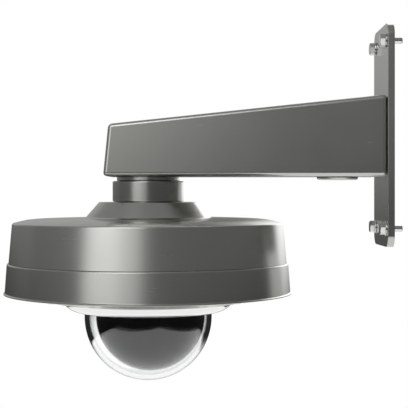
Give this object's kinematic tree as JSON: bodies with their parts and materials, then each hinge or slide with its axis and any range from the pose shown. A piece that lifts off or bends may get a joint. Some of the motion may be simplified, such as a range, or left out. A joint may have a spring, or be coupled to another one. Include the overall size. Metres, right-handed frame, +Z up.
{
  "type": "ptz camera",
  "caption": "Stainless steel pan-tilt-zoom dome camera hanging from a tapered wall arm, with a clear dome and a black ball shroud.",
  "frame": {"origin": "middle of the four wall bolts, on the back face of the wall plate", "axes": "+X into the wall, square to the plate and away from the camera head; +Y across the arm; +Z up"},
  "size_m": [0.3514, 0.2568, 0.3154],
  "materials": {
    "satin_steel": "satin",
    "bolt_steel": "satin",
    "polished_steel": "polished",
    "clear_dome": "clear",
    "gloss_black": "glossy",
    "black_rubber": "matt",
    "alloy": "machined",
    "circuit_board": "lacquered",
    "module_black": "fine texture",
    "coated_glass": "coated",
    "bronze": "machined"
  },
  "bodies": {
    "root": {"wall_plate": "satin_steel", "arm_shell": "satin_steel", "wall_bolt_1": "bolt_steel", "wall_bolt_2": "bolt_steel", "wall_bolt_3": "bolt_steel", "wall_bolt_4": "bolt_steel", "wall_washer_1": "bolt_steel", "wall_washer_2": "bolt_steel", "wall_washer_3": "bolt_steel", "wall_washer_4": "bolt_steel", "conduit_boss": "satin_steel", "conduit_plug": "bolt_steel", "pendant_nipple": "satin_steel", "arm_lock_nut": "bolt_steel", "pendant_collar": "satin_steel", "collar_set_screw": "bolt_steel", "housing_lock_nut": "bolt_steel", "upper_housing": "satin_steel", "housing_gasket": "black_rubber", "lower_cover": "satin_steel", "cover_screw_1": "bolt_steel", "cover_screw_2": "bolt_steel", "cover_screw_3": "bolt_steel", "cover_screw_4": "bolt_steel", "dome_gasket": "black_rubber", "dome_ring": "polished_steel", "dome_bubble": "clear_dome", "chassis_plate": "alloy", "main_board": "circuit_board", "heat_sink": "alloy", "network_jack": "alloy", "power_terminal": "module_black", "slip_ring_stator": "module_black", "pan_bearing_outer": "alloy", "pan_motor": "module_black", "pan_belt": "black_rubber"},
    "pan": {"turntable": "alloy", "pan_bearing_inner": "alloy", "pan_pulley": "alloy", "slip_ring_rotor": "bronze", "yoke": "alloy", "ball_shroud": "gloss_black", "tilt_motor": "module_black", "tilt_belt": "black_rubber", "tilt_bush_left": "bronze", "tilt_bush_right": "bronze"},
    "pan_drive": {"pan_motor_pulley": "alloy"},
    "tilt": {"module_case": "module_black", "module_rear_cover": "alloy", "sensor_board": "circuit_board", "lens_barrel": "module_black", "front_lens": "coated_glass", "tilt_pulley": "alloy"},
    "tilt_drive": {"tilt_motor_pulley": "alloy"},
    "zoom_cam": {"zoom_cam": "bronze"},
    "zoom_group": {"zoom_group": "module_black"},
    "focus_group": {"focus_group": "module_black"}
  },
  "joints": [
    {"name": "pan", "type": "hinge", "parent": "root", "child": "pan", "pos_m": [-0.215, 0, -0.1614], "axis": [0, 0, 1], "continuous": true},
    {"name": "pan_motor_turn", "type": "hinge", "parent": "root", "child": "pan_drive", "pos_m": [-0.131, 0, -0.105], "axis": [0, 0, 1], "continuous": true},
    {"name": "tilt", "type": "hinge", "parent": "pan", "child": "tilt", "pos_m": [-0.215, 0, -0.1614], "axis": [-1, 0, 0], "range_deg": [-35, 55]},
    {"name": "tilt_motor_turn", "type": "hinge", "parent": "pan", "child": "tilt_drive", "pos_m": [-0.18, 0, -0.1255], "axis": [-1, 0, 0], "range_deg": [-98, 154]},
    {"name": "zoom_cam_turn", "type": "hinge", "parent": "tilt", "child": "zoom_cam", "pos_m": [-0.215, 0, -0.1614], "axis": [0, 0.8192, -0.5736], "range_deg": [0, 120]},
    {"name": "zoom_slide", "type": "slide", "parent": "tilt", "child": "zoom_group", "axis": [0, 0.8192, -0.5736], "range_m": [0, 0.008]},
    {"name": "focus_slide", "type": "slide", "parent": "tilt", "child": "focus_group", "axis": [0, 0.8192, -0.5736], "range_m": [-0.003, 0.008]}
  ],
  "couplings": [
    {"joint": "pan_motor_turn", "follows": "pan", "ratio": 7.625},
    {"joint": "tilt_motor_turn", "follows": "tilt", "ratio": 2.8},
    {"joint": "zoom_slide", "follows": "zoom_cam_turn", "m_per_rad": 0.00382}
  ]
}
